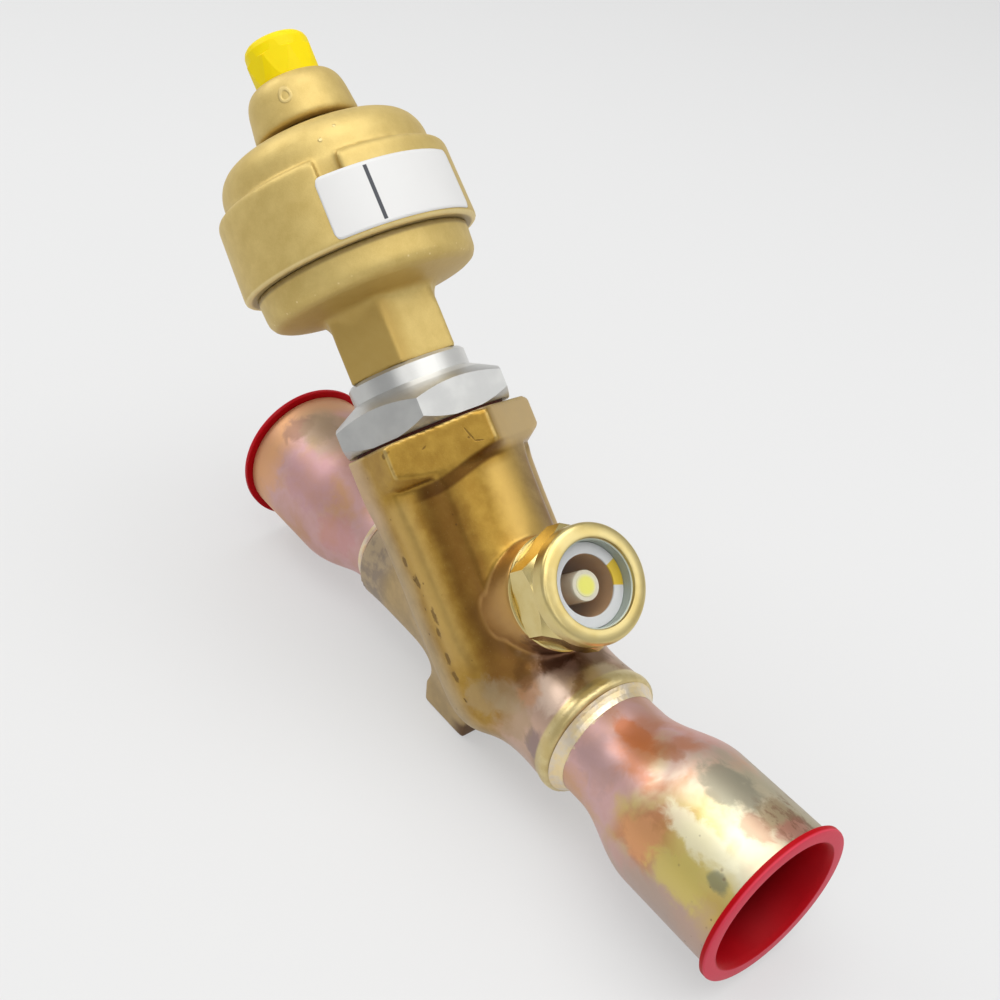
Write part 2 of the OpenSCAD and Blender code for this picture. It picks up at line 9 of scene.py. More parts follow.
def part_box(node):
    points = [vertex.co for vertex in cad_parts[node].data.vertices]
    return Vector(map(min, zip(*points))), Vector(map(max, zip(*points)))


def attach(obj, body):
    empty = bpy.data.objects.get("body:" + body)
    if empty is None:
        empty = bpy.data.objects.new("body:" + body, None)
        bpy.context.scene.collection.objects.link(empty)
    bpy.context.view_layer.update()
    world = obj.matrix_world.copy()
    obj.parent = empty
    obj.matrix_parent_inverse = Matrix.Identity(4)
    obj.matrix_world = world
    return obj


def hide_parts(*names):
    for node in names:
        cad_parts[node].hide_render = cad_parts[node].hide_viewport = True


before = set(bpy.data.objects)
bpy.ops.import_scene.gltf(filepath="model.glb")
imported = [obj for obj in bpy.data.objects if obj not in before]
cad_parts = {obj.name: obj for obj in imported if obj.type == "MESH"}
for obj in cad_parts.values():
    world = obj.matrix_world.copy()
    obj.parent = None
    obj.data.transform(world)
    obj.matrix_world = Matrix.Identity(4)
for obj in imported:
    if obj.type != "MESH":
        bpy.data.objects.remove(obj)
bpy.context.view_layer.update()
scene = bpy.context.scene

# Camera: the valve is seen from its outlet end, from one side and from above, about 30 cm away.
# The lens is a normal one; nothing is shifted and everything is sharp.
lens = bpy.data.cameras.new("camera")
lens.sensor_width = 36
lens.lens = 46.561
lens.clip_start = 0.01
camera = bpy.data.objects.new("camera", lens)
right = Vector((0.6096, 0.7887, 0.0793)).normalized()
ahead = Vector((-0.5899, 0.5182, -0.6193)).normalized()
right = (right - ahead * right.dot(ahead)).normalized()
above = right.cross(ahead)
standpoint = Vector((0.26537, -0.15736, 0.22915))
camera.matrix_world = Matrix.Translation(standpoint) @ Matrix((right, above, -ahead)).transposed().to_4x4()
scene.collection.objects.link(camera)
scene.camera = camera
scene.view_settings.view_transform = "Standard"


# Floor and light: a pale table under a large overhead softbox, with a weaker window at the left.
# Three small cards fill the front and the sides. The table stays pale to the horizon and takes only
# a faint shadow, because part of what the camera and the metal see of it glows by itself.
TABLE_PALE = 231
TABLE_GLOW = 0.55
LAMPS_AIM = Vector((0.09, 0, 0.04))


class Wire:
    """A socket of a material's nodes: sums on it add Math nodes, node() adds any other."""

    def __init__(self, tree, socket):
        self.tree = tree
        self.socket = socket

    def node(self, kind, settings, inputs, out=0):
        made = self.tree.nodes.new(kind)
        for name, value in settings.items():
            if name == "stops":
                ramp = made.color_ramp
                ramp.elements[0].position, ramp.elements[1].position = value[0][0], value[-1][0]
                for position, _ in value[1:-1]:
                    ramp.elements.new(position)
                for stop, (_, shade) in zip(ramp.elements, value):
                    stop.color = (*srgb(*shade), 1.0)
            else:
                setattr(made, name, value)
        for name, value in inputs.items():
            if isinstance(value, Wire):
                self.tree.links.new(value.socket, made.inputs[name])
            else:
                made.inputs[name].default_value = value
        return Wire(self.tree, made.outputs[out])

    def math(self, operation, *values):
        return self.node("ShaderNodeMath", {"operation": operation}, dict(enumerate((self, *values))))

    def __add__(self, other):
        return self.math("ADD", other)

    def __sub__(self, other):
        return self.math("SUBTRACT", other)

    def __rsub__(self, other):
        return self.math("MULTIPLY_ADD", -1.0, other)

    def __mul__(self, other):
        return self.math("MULTIPLY", other)

    def __truediv__(self, other):
        return self.math("DIVIDE", other)

    def __abs__(self):
        return self.math("ABSOLUTE")

    def __or__(self, other):
        return self.math("MAXIMUM", other)

    __radd__ = __add__
    __rmul__ = __mul__

    def rise(self, low, high):
        """Zero up to low, one from high on, and a smooth step between them."""
        return self.node("ShaderNodeMapRange", {"interpolation_type": "SMOOTHSTEP"},
                         {"Value": self, "From Min": low, "From Max": high})

    def fall(self, low, high):
        """The other way round: one up to low and zero from high on."""
        return 1.0 - self.rise(low, high)

    def near(self, middle, inner, outer):
        """One within inner of the middle, and nothing beyond outer."""
        return abs(self - middle).fall(inner, outer)

    def scaled(self, factors):
        return self.node("ShaderNodeVectorMath", {"operation": "MULTIPLY"}, {0: self, 1: factors})

    def along(self, direction, origin=(0, 0, 0)):
        """How far the place lies from the origin along a direction."""
        moved = self.node("ShaderNodeVectorMath", {"operation": "SUBTRACT"}, {0: self, 1: origin})
        return moved.node("ShaderNodeVectorMath", {"operation": "DOT_PRODUCT"}, {0: moved, 1: direction}, 1)

    def noise(self, scale, detail=3.0, rough=0.55, warp=0.0):
        return self.node("ShaderNodeTexNoise", {}, {
            "Vector": self, "Scale": scale, "Detail": detail, "Roughness": rough, "Distortion": warp})

    def cells(self, scale):
        return self.node("ShaderNodeTexVoronoi", {"feature": "F1"}, {"Vector": self, "Scale": scale})

    def tint(self, first, second):
        """The first colour where this is zero, and the second where it is one."""
        ends = [value if isinstance(value, Wire) else (*value, 1.0) for value in (first, second)]
        return self.node("ShaderNodeMix", {"data_type": "RGBA"}, {0: self, 6: ends[0], 7: ends[1]}, 2)

    def into(self, shader, name):
        self.tree.links.new(self.socket, shader.inputs[name])

    def bump(self, shader, depth, strength):
        self.node("ShaderNodeBump", {}, {"Height": self, "Distance": depth, "Strength": strength}).into(
            shader, "Normal")


def srgb(r, g, b):
    """A colour as the eye reads it, 0 to 255, in the light values that the shader takes."""
    return tuple((v / 255 / 12.92) if v <= 10 else ((v / 255 + 0.055) / 1.055) ** 2.4 for v in (r, g, b))


def surface(name, **fixed):
    """A new material, its shader with fixed sockets set, and the place on the part in metres."""
    material = bpy.data.materials.new(name)
    material.use_nodes = True
    shader = material.node_tree.nodes["Principled BSDF"]
    for label, value in fixed.items():
        shader.inputs[label.replace("_", " ")].default_value = value
    return material, shader, Wire(material.node_tree, None).node("ShaderNodeTexCoord", {}, {}, "Object")


table, table_shader, table_place = surface("pale_table", Roughness=0.9, Specular_IOR_Level=0.1)
table_place.noise(3.0).tint(srgb(220, 220, 220), srgb(223, 223, 222)).into(table_shader, "Base Color")
seen, mirrored, refracted = [table_place.node("ShaderNodeLightPath", {}, {}, ray) for ray in (
    "Is Camera Ray", "Is Glossy Ray", "Is Transmission Ray")]
glow = table_place.node("ShaderNodeEmission", {}, {"Color": (*srgb(TABLE_PALE, TABLE_PALE, TABLE_PALE), 1)})
lit = Wire(table.node_tree, table_shader.outputs["BSDF"])
softened = table_place.node("ShaderNodeMixShader", {}, {
    0: (seen | mirrored | refracted) * TABLE_GLOW, 1: lit, 2: glow})
softened.into(table.node_tree.nodes["Material Output"], "Surface")
top = bmesh.new()
bmesh.ops.create_grid(top, x_segments=2, y_segments=2, size=6.0)
table_mesh = bpy.data.meshes.new("table")
top.to_mesh(table_mesh)
top.free()
floor = bpy.data.objects.new("table", table_mesh)
floor.location = (0.1, 0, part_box("valve_body")[0][2])
floor.data.materials.append(table)
scene.collection.objects.link(floor)

sky = bpy.data.worlds.new("studio")
sky.use_nodes = True
sky.node_tree.nodes["Background"].inputs["Color"].default_value = (0.98, 0.99, 1.0, 1)
sky.node_tree.nodes["Background"].inputs["Strength"].default_value = 0.52
scene.world = sky

for name, stands_at, size, power in (
        ("softbox", (0.16, 0.06, 0.95), 1.1, 6.9),
        ("window", (-0.60, -0.30, 0.60), 0.5, 2.0),
        ("front_card", (0.75, -0.10, 0.50), 0.35, 0.35),
        ("left_card", (0.42, -0.55, 0.60), 0.40, 0.4),
        ("right_card", (0.66, 0.47, 0.53), 0.55, 0.8)):
    lamp = bpy.data.lights.new(name, "AREA")
    lamp.shape = "DISK"
    lamp.size = size
    lamp.energy = power
    stand = bpy.data.objects.new(name, lamp)
    stand.location = stands_at
    stand.rotation_euler = (LAMPS_AIM - Vector(stands_at)).to_track_quat("-Z", "Y").to_euler()
    scene.collection.objects.link(stand)

# Valve body: a brass forging with sockets, sight boss, hexagon head and foot, left as struck.
# Its corners run out in soft fillets; trimmed flash runs down the parting line of the barrel.
# CROSS is where the barrel's axis meets the pipe line, LEAN runs up the barrel and SIGHT out of the boss.
CROSS = Vector((0.1015, 0, 0))
LEAN = Vector((-math.sqrt(0.5), 0, math.sqrt(0.5)))
SIGHT = Vector((math.sqrt(0.5), 0, math.sqrt(0.5)))
ACROSS = Vector((0, 1, 0))
# The boss's height up the barrel and the head's radius are in millimetres; the head's front flat is turned.
BOSS_UP = 15.5
HEAD_R = 22.5
HEAD_TURN = math.radians(-27)
HALF_FLAT = math.radians(30)
BODY_VOXEL = 0.00068
BODY_TURNS = 180


def forged_copy(name, source, voxel, turns, softness):
    """The CAD solid's own mesh, remeshed evenly and relaxed where softness is above zero."""
    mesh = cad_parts[source].data.copy()
    welded = bmesh.new()
    welded.from_mesh(mesh)
    bmesh.ops.remove_doubles(welded, verts=welded.verts, dist=1e-6)
    plain = bpy.data.meshes.new(name)
    welded.to_mesh(plain)
    welded.free()
    piece = bpy.data.objects.new(name, plain)
    scene.collection.objects.link(piece)
    remesh = piece.modifiers.new("even", "REMESH")
    remesh.mode = "VOXEL"
    remesh.voxel_size = voxel
    even = bpy.data.meshes.new_from_object(piece.evaluated_get(bpy.context.evaluated_depsgraph_get()))
    piece.modifiers.clear()
    piece.data = even
    count = len(even.vertices)
    points = np.empty(count * 3)
    even.vertices.foreach_get("co", points)
    points = points.reshape(-1, 3)
    ends = np.empty(len(even.edges) * 2, dtype=np.int32)
    even.edges.foreach_get("vertices", ends)
    one, two = ends.reshape(-1, 2).T
    degree = np.bincount(one, minlength=count) + np.bincount(two, minlength=count)
    weight = 0.5 * softness(points)[:, None]
    for _ in range(turns):
        pull = np.stack([np.bincount(one, points[two, k], count) + np.bincount(two, points[one, k], count)
                         for k in range(3)], axis=1)
        points += weight * (pull / degree[:, None] - points)
    even.vertices.foreach_set("co", points.ravel())
    even.polygons.foreach_set("use_smooth", np.ones(len(even.polygons), dtype=bool))
    even.update()
    return piece


def step(values, low, high):
    """The same smooth step as Wire.rise, for arrays of points."""
    t = np.clip((values - low) / (high - low), 0, 1)
    return t * t * (3 - 2 * t)


def body_softness(points):
    """One on the open fillets, near zero on machined faces, the head, the boss's rim and the foot."""
    p = (points - np.array(CROSS)) * 1000
    up = p @ np.array(LEAN)
    out = p @ np.array(SIGHT)
    barrel = np.hypot(out, p[:, 1])
    pipe = np.hypot(p[:, 1], p[:, 2])
    sight = np.hypot(up - BOSS_UP, p[:, 1])
    soft = np.ones(len(p))
    soft *= np.where((barrel < 18.2) & (up > -1.5), 0, 1)
    soft *= np.where((pipe < 15.0) & (np.abs(out) > 1) & (p[:, 2] > -15.2) & (barrel > 12), 0, 1)
    soft *= np.where((sight < 11) & (out > 8), 0, 1)
    soft *= step(p[:, 0], -50.6, -46) * step(-p[:, 0], -24.8, -20)
    soft *= step(-out, -26.8, -22)
    soft *= 1 - 0.985 * step(up, 46, 49.5)
    soft *= 1 - 0.95 * step(out, 11.5, 15) * step(-sight, -18, -15)
    turn = np.abs(np.arctan2(p[:, 1], out))
    soft *= 1 - 0.85 * step(up, 2, 10) * step(turn, 0.4, 0.55) * step(-turn, -1.5, -1.3)
    soft *= 1 - step(up, 60.2, 60.9)
    soft *= 0.03 + 0.97 * step(p[:, 2], -17, -13)
    return soft


forging = forged_copy("forged_body", "valve_body", BODY_VOXEL, BODY_TURNS, body_softness)
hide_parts("valve_body")
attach(forging, "valve")


def distance(first, second):
    """How far a place is from where both of its measures are zero."""
    return (first * first + second * second).math("SQRT")


brass, brass_shader, place = surface("forged_brass", Specular_IOR_Level=0.5)
mm = place.scaled((1000, 1000, 1000))
up = place.along(LEAN, CROSS) * 1000
out = place.along(SIGHT, CROSS) * 1000
side = place.along(ACROSS) * 1000
line = place.along((1, 0, 0), CROSS) * 1000
level = place.along((0, 0, 1)) * 1000
broad = mm.noise(0.055, 2.0)
mottle = mm.noise(0.22, 4.0, 0.6)
grain = mm.noise(2.6, 3.0)
gold = mottle.rise(0.3, 0.75).tint(srgb(158, 121, 48), srgb(178, 142, 62))
tan = mottle.rise(0.3, 0.7).tint(srgb(166, 142, 100), srgb(184, 158, 112))
rosy = broad.rise(0.42, 0.58).tint(srgb(158, 126, 88), srgb(198, 166, 146))
around = side.math("ARCTAN2", out)
wander = (mm.noise(0.11, 3.0) - 0.5) * 0.5
# Painted light: the rear half below the parting line is painted paler, as if lit from the table, and is also
# made duller.
rear_half = (around * -1.0 + wander * 0.6).rise(1.35, 1.75) * around.fall(0.0, 0.2)
colour = rear_half.tint(gold, tan)
# Painted shade: the flutes on either side of the barrel's front are painted dark brown.
painted_flute_shade = (abs(abs(around) - 0.77) + wander * 0.4).fall(0.12, 0.4)
painted_flute_shade = painted_flute_shade * up.fall(46.5, 49.5) * up.rise(-12.0, 6.0)
# Painted light: the barrel's right side is painted paler, as if lit from the right.
painted_right_side_light = around.rise(0.12, 0.5) * around.fall(2.2, 2.6)
colour = (painted_right_side_light * 0.7).tint(colour, tan)
# Painted highlight: a pale gold strip down the front of the barrel.
painted_front_highlight = (around + wander * 0.3).near(0.1, 0.06, 0.34) * up.rise(22.0, 30.0) * up.fall(47.0, 50.0)
colour = (painted_front_highlight * 0.5).tint(colour, srgb(230, 194, 112))
colour = (painted_flute_shade * 0.6).tint(colour, srgb(110, 64, 22))
# Painted highlight: a pale strip along the ridge beside each flute.
painted_ridge_highlight = (abs(around) + wander * 0.15).near(1.25, 0.06, 0.22) * up.rise(2.0, 12.0) * up.fall(46.0, 50.0)
colour = (painted_ridge_highlight * 0.5).tint(colour, srgb(208, 176, 110))
from_boss = distance(up - BOSS_UP, side)
# Painted shade: a dark brown ring round the foot of the sight boss, fading out above it.
painted_boss_crease_shade = from_boss.rise(13.6, 14.4) * (from_boss + wander * 3.0).fall(14.6, 17.5) * out.rise(10.0, 13.0)
colour = (painted_boss_crease_shade * (0.7 - up.rise(17.0, 23.0) * 0.7)).tint(colour, srgb(104, 70, 30))
boss_wall = from_boss.fall(13.7, 14.3) * out.rise(13.0, 15.0) * (1.0 - rear_half)
colour = (boss_wall * 0.6).tint(colour, srgb(196, 152, 92))
# Oxide and painted shade: the barrel is painted red-brown low down on either side of its front, under the
# boss.
low_oxide_and_shade = (up + wander * 12.0).fall(0.0, 12.0) * abs(around).near(0.7, 0.25, 0.6)
colour = (low_oxide_and_shade * 0.45).tint(colour, srgb(150, 104, 56))
# Painted light: the head's facets on the right are painted paler, as if lit from the right.
painted_right_facet_light = around.rise(0.05, 0.2) * around.fall(1.2, 1.5) * up.rise(50.0, 52.5)
colour = (painted_right_facet_light * 0.75).tint(colour, srgb(216, 186, 128))
# Painted shadow: a dark brown band under the head's lower edge, following its chamfer.
painted_head_shadow = (up - around.rise(-0.75, 0.1) * 3.4).near(48.0, 1.1, 2.1)
painted_head_shadow = painted_head_shadow * around.rise(-1.1, -0.85) * (1.0 - around.rise(0.0, 0.3) * 0.85)
colour = (painted_head_shadow * 0.85).tint(colour, srgb(92, 56, 16))
front_end = (line + (broad - 0.5) * 14.0 + (mottle - 0.5) * 14.0).rise(8.0, 19.0)
colour = front_end.tint(colour, rosy)
ragged = mm.noise(0.3, 4.0, 0.6, 0.4) - 0.5
heading = side.math("ARCTAN2", level)


def spot_at(first, second, ragged):
    """A ragged spot where two scaled distances from its middle stay within one."""
    return (distance(first, second) + ragged).fall(0.55, 1.05)


# The two dark brown spots at 14.5 mm and 12.5 mm are painted shade under the boss.
for x, angle, run, wide, strength, shade in (
        (20.5, -33, 6, 0.42, 0.85, (226, 200, 180)), (24, 5, 4, 0.4, 0.6, (214, 196, 160)),
        (18, 13, 4.5, 0.4, 0.75, (116, 84, 52)), (15.5, -50, 4, 0.25, 0.6, (206, 150, 104)),
        (23.5, -82, 4, 0.3, 0.7, (128, 110, 112)), (16, -78, 6, 0.4, 0.5, (170, 146, 110)),
        (14.5, -12, 3.8, 0.42, 0.85, (92, 52, 20)), (12.5, -38, 3.2, 0.3, 0.6, (112, 74, 36)),
        (7, -77, 6, 0.3, 0.55, (172, 150, 114)), (11, -66, 5.5, 0.3, 0.5, (174, 152, 118))):
    spot = spot_at((line - x) / run, (heading - math.radians(angle)) / wide, ragged * 1.3)
    colour = (spot * strength).tint(colour, srgb(*shade))
# Painted light: the rear half is painted paler still towards the head.
shoulder = rear_half * up.rise(40.0, 48.0)
colour = (shoulder * 0.6).tint(colour, srgb(208, 174, 138))
bead = line.rise(24.4, 25.4)
colour = (bead * 0.85).tint(colour, mottle.rise(0.35, 0.65).tint(srgb(206, 186, 126), srgb(222, 206, 150)))
rear_end = (line * -1.0 + (broad - 0.5) * 16.0).rise(36.0, 44.0) * up.fall(44.0, 50.0)
colour = rear_end.tint(colour, mottle.rise(0.4, 0.6).tint(srgb(146, 130, 112), srgb(176, 156, 126)))
flash = (out + (mm.noise(0.9, 2.0) - 0.5) * 2.4).near(3.2, 0.3, 0.9)
flash = flash * mm.scaled((1, 0.2, 1)).noise(0.42, 1.0).rise(0.6, 0.66) * up.fall(36.0, 42.0)
crumbs = mm.noise(0.7, 3.0) - 0.5
for high, off, run in ((34.5, 1.7, 1.7), (29, 3.6, 2.0), (20.3, 4.8, 2.4),
                       (16.2, 3.8, 1.8), (9.6, 3.2, 2.4), (5, 3.1, 1.8)):
    flash = flash | spot_at((up - high) / run, (out - off) / 0.9, crumbs * 1.5) * 0.8
pits = mm.cells(0.28).fall(0.05, 0.13) * mm.noise(0.13, 1.0).rise(0.54, 0.62)
marks = flash | (pits * 0.8)
nicks = mm.noise(0.8, 3.0) - 0.5
for high, angle, run, wide, tilt in ((56.9, -9.5, 2.0, 0.28, -1.25), (54.5, -5.5, 1.1, 0.25, -0.3),
                                     (59.4, -58.0, 1.3, 0.8, 0.4), (57.6, -37.0, 0.8, 0.25, 0.5)):
    sideways = (around - math.radians(angle)) * HEAD_R
    upward = up - high
    dent_along = sideways * math.cos(tilt) + upward * math.sin(tilt)
    dent_across = upward * math.cos(tilt) - sideways * math.sin(tilt)
    marks = marks | spot_at(dent_along / run, dent_across / wide, nicks * 1.2) * 0.8
colour = (marks * 0.75).tint(colour, srgb(88, 62, 32))
# Painted shade: the foot's end is painted dark brown.
painted_foot_shade = line.rise(-10.5, -5.5) * level.fall(-20.5, -18.5)
colour = (painted_foot_shade * 0.8).tint(colour, srgb(84, 52, 34))
# Wear and painted highlight: the head's top edge and front corner are painted bright, over a fine bright
# speckle.
corner = abs(around - HEAD_TURN).near(HALF_FLAT, 0.008, 0.03)
head_edges = up.rise(60.5, 61.2) | corner * up.rise(52.5, 54.0)
wear_and_highlight = grain.rise(0.62, 0.8) * 0.2 | head_edges * mottle.rise(0.3, 0.6) * 0.5
colour = wear_and_highlight.tint(colour, srgb(222, 196, 130))
colour.into(brass_shader, "Base Color")
(0.28 + mottle * 0.14 + marks * 0.2 + rear_half * 0.14).into(brass_shader, "Roughness")
(0.84 - rear_half * 0.3).into(brass_shader, "Metallic")
(grain * 0.22 + mottle * 0.5 - marks * 0.6).bump(brass_shader, 0.0002, 0.5)
forging.data.materials.append(brass)

# Seat ring: a turned brass ring pressed into the body under the piston, bright from the lathe.
# The piston and the connector's contact pins are the same bright brass, so they share its finish.


def dress(material, *names):
    """Puts a material on CAD nodes that the scene shows as they are."""
    for name in names:
        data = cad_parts[name].data
        data.materials.clear()
        data.materials.append(material)


bright, bright_shader, place = surface("turned_brass", Metallic=1.0)
mm = place.scaled((1000, 1000, 1000))
mm.noise(0.5, 2.0).tint(srgb(222, 184, 92), srgb(206, 166, 72)).into(bright_shader, "Base Color")
(mm.noise(1.5) * 0.12 + 0.1).into(bright_shader, "Roughness")
mm.noise(6.0, 2.0).bump(bright_shader, 0.00002, 0.3)
dress(bright, "seat_ring", "contact_pin_1", "contact_pin_2", "contact_pin_3", "contact_pin_4", "piston")

# Inlet and outlet tubes: drawn copper, swaged to a neck and brazed into the body in a flame.
# The heat leaves mauve, orange and straw tints; the mouths are spotted, stained and paler.
LINE_LEN = 0.1845
TUBE_R, NECK_R, WALL = 0.019, 0.014, 0.00145
FLARE_AT, FLARE_LEN, FLARE_STEPS = 0.0255, 0.021, 24
MOUTH_EDGE, MOUTH_LEN = 0.0002, 0.012
INLET_DEPTH, OUTLET_DEPTH = 0.0605, 0.064
CREASE = math.radians(35)


def turned_piece(name, profile, origin, direction, across, segments=128):
    """A closed profile of (radius, distance), plain or by angle, turned about a line."""
    shape = bmesh.new()
    other = direction.cross(across)
    columns = []
    for k in range(segments):
        angle = 2 * math.pi * k / segments
        spoke = across * math.cos(angle) + other * math.sin(angle)
        columns.append([shape.verts.new(origin + direction * along + spoke * radius)
                        for radius, along in (profile(angle) if callable(profile) else profile)])
    rings = list(zip(*columns))
    for one, two in zip(rings, rings[1:] + rings[:1]):
        for k in range(segments):
            after = (k + 1) % segments
            shape.faces.new((one[k], one[after], two[after], two[k])).smooth = True
    bmesh.ops.remove_doubles(shape, verts=shape.verts, dist=1e-7)
    bmesh.ops.recalc_face_normals(shape, faces=shape.faces)
    for edge in shape.edges:
        edge.smooth = edge.calc_face_angle(0) < CREASE
    mesh = bpy.data.meshes.new(name)
    shape.to_mesh(mesh)
    shape.free()
    piece = bpy.data.objects.new(name, mesh)
    scene.collection.objects.link(piece)
    return piece


def tube_profile(depth):
    """The wall of a tube from its mouth to the given depth, out along its skin and back inside."""
    flare = [(NECK_R + (TUBE_R - NECK_R) * (1 + math.cos(math.pi * k / FLARE_STEPS)) / 2,
              FLARE_AT + FLARE_LEN * k / FLARE_STEPS) for k in range(FLARE_STEPS + 1)]
    mouth = [(TUBE_R - MOUTH_EDGE, 0.0), (TUBE_R, MOUTH_EDGE), (TUBE_R, MOUTH_LEN)]
    outside = mouth + flare + [(NECK_R, depth)]
    inside = [(radius - WALL, along) for radius, along in reversed(outside[2:])]
    return outside + inside + [(TUBE_R - WALL, 0.0)]


copper, copper_shader, place = surface("heat_tinted_copper", Specular_IOR_Level=0.5)
mm = place.scaled((1000, 1000, 1000))
along_x = place.along((1, 0, 0)) * 1000
front = along_x.rise(90.0, 100.0)
drift = mm.noise(0.045, 3.0, 0.5, 0.5) - 0.5
patch = mm.noise(0.11, 4.0, 0.55, 0.3) - 0.5
fine = mm.noise(1.4, 3.0)
heading = place.along(ACROSS).math("ARCTAN2", place.along((0, 0, 1)))
turn = heading + drift * 1.5
# Heat tints and painted light: round the mouths, the cream band is a painted highlight and the grey-mauve low
# side is a painted reflection of the table.
mouth_tint_and_reflection = turn.node("ShaderNodeValToRGB", {"stops": (
    (0.0, (172, 152, 140)), (0.20, (186, 158, 142)), (0.29, (206, 178, 104)), (0.36, (214, 196, 120)),
    (0.42, (228, 222, 190)), (0.48, (214, 198, 168)), (0.55, (178, 168, 140)), (0.66, (166, 150, 120)),
    (1.0, (176, 150, 136)))}, {"Fac": (turn + 2.6) / 5.2 + patch * 0.12})
neck_tint = drift.node("ShaderNodeValToRGB", {"stops": (
    (0.30, (196, 150, 118)), (0.44, (200, 158, 148)), (0.56, (206, 166, 164)), (0.72, (206, 160, 128)))},
    {"Fac": drift + patch * 0.5 + 0.5})
toward_mouth = (along_x + drift * 40.0 + patch * 16.0).rise(150.0, 164.0)
colour = toward_mouth.tint(neck_tint, mouth_tint_and_reflection)
scorch = (abs(turn + 0.2) + patch * 1.2).fall(0.25, 0.65) * (along_x + patch * 18.0).near(147.0, 5.0, 11.0)
amber = (abs(turn + 1.1) + patch).fall(0.15, 0.45) * along_x.near(160.0, 3.0, 9.0)
colour = ((scorch | amber) * 0.75).tint(colour, srgb(190, 122, 82))
rear_rim = (along_x + drift * 14.0).fall(5.0, 13.0) * 0.85
colour = rear_rim.tint(colour, srgb(214, 164, 116))
rear_top = turn.near(-0.15, 0.1, 0.4) * along_x.near(15.0, 6.0, 14.0) * 0.6
colour = rear_top.tint(colour, srgb(178, 160, 130))
ragged = mm.noise(0.3, 4.0, 0.6, 0.4) - 0.5
# The cream streak at 171 mm is a painted highlight, and the grey-mauve patch at 168 mm is a painted
# reflection of the table.
for x, angle, run, wide, strength, shade in (
        (150, 37, 9, 0.5, 0.5, (206, 150, 138)), (141, -50, 8, 0.5, 0.5, (182, 150, 148)),
        (143, -12, 8, 0.22, 0.8, (192, 116, 74)), (152, -8, 5, 0.16, 0.6, (176, 118, 84)),
        (161, -63, 7, 0.3, 0.75, (220, 160, 112)), (172, -66, 9, 0.32, 0.8, (208, 190, 108)),
        (171, -37, 12, 0.2, 0.75, (244, 238, 206)), (167, 3, 9, 0.34, 0.85, (152, 146, 126)),
        (178, 14, 5, 0.3, 0.6, (152, 124, 84)), (177, -8, 5, 0.16, 0.55, (176, 120, 96)),
        (182, 13, 3, 0.3, 0.7, (178, 112, 98)), (8, -26, 5, 0.3, 0.8, (158, 122, 104)),
        (180, -48, 3, 0.12, 0.7, (124, 128, 108)), (168, -98, 9, 0.35, 0.5, (176, 158, 146)),
        (24, -50, 12, 0.5, 0.5, (196, 150, 156)), (6, -70, 7, 0.5, 0.6, (222, 168, 122)),
        (13, -12, 7, 0.35, 0.6, (168, 146, 118)), (39, -80, 7, 0.5, 0.5, (204, 148, 146))):
    spot = spot_at((along_x - x) / run, (heading - math.radians(angle)) / wide, ragged * 1.3)
    colour = (spot * strength).tint(colour, srgb(*shade))
spill = (along_x - 133.2 + ragged * 7.0 + (heading + 0.9) * (heading + 0.9) * 1.6).fall(-0.6, 0.6)
spill = spill * along_x.rise(120.0, 121.0)
colour = (spill * 0.85).tint(colour, srgb(240, 226, 176))
at_mouth = along_x.rise(164.0, 176.0)
specks = mm.cells(0.33).fall(0.07, 0.14) * patch.rise(0.0, 0.06)
spots = (mm.cells(0.15).fall(0.03, 0.1) | specks) * at_mouth
stained = mm.scaled((0.55, 1.0, 1.0)).noise(0.42, 4.0, 0.65).rise(0.49, 0.6) * along_x.rise(170.0, 177.0)
stained = stained * heading.rise(-0.1, 0.15) * heading.fall(0.7, 1.1)
colour = (spots * 0.7).tint(colour, srgb(104, 82, 54))
colour = (stained * 0.65).tint(colour, srgb(128, 90, 66))
colour.into(copper_shader, "Base Color")
(0.45 + fine * 0.12 + spots * 0.3 + stained * 0.1 - front * 0.13).into(copper_shader, "Roughness")
(0.74 - spots * 0.4).into(copper_shader, "Metallic")
(fine * 0.3 + patch * 0.8 - stained * 0.3 - spots).bump(copper_shader, 0.00006, 0.4)
for name, node, mouth, direction, depth in (
        ("copper_inlet", "inlet_tube", 0.0, 1, INLET_DEPTH),
        ("copper_outlet", "outlet_tube", LINE_LEN, -1, OUTLET_DEPTH)):
    pipe = turned_piece(name, tube_profile(depth), Vector((mouth, 0, 0)), Vector((direction, 0, 0)), ACROSS)
    pipe.data.materials.append(copper)
    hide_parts(node)
    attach(pipe, "valve")

# Braze fillets: silver-brass filler that ran into the joint and froze in a bright uneven ring.
# It is drawn in by the heat, so its skin is smooth with soft runs.
filler, filler_shader, place = surface("braze_filler", Metallic=0.9)
mm = place.scaled((1000, 1000, 1000))
runs = mm.noise(0.35, 3.0)
runs.rise(0.35, 0.65).tint(srgb(236, 214, 166), srgb(226, 212, 190)).into(filler_shader, "Base Color")
(0.3 + mm.noise(1.2) * 0.12).into(filler_shader, "Roughness")
runs.bump(filler_shader, 0.0004, 0.6)
dress(filler, "inlet_braze", "outlet_braze")

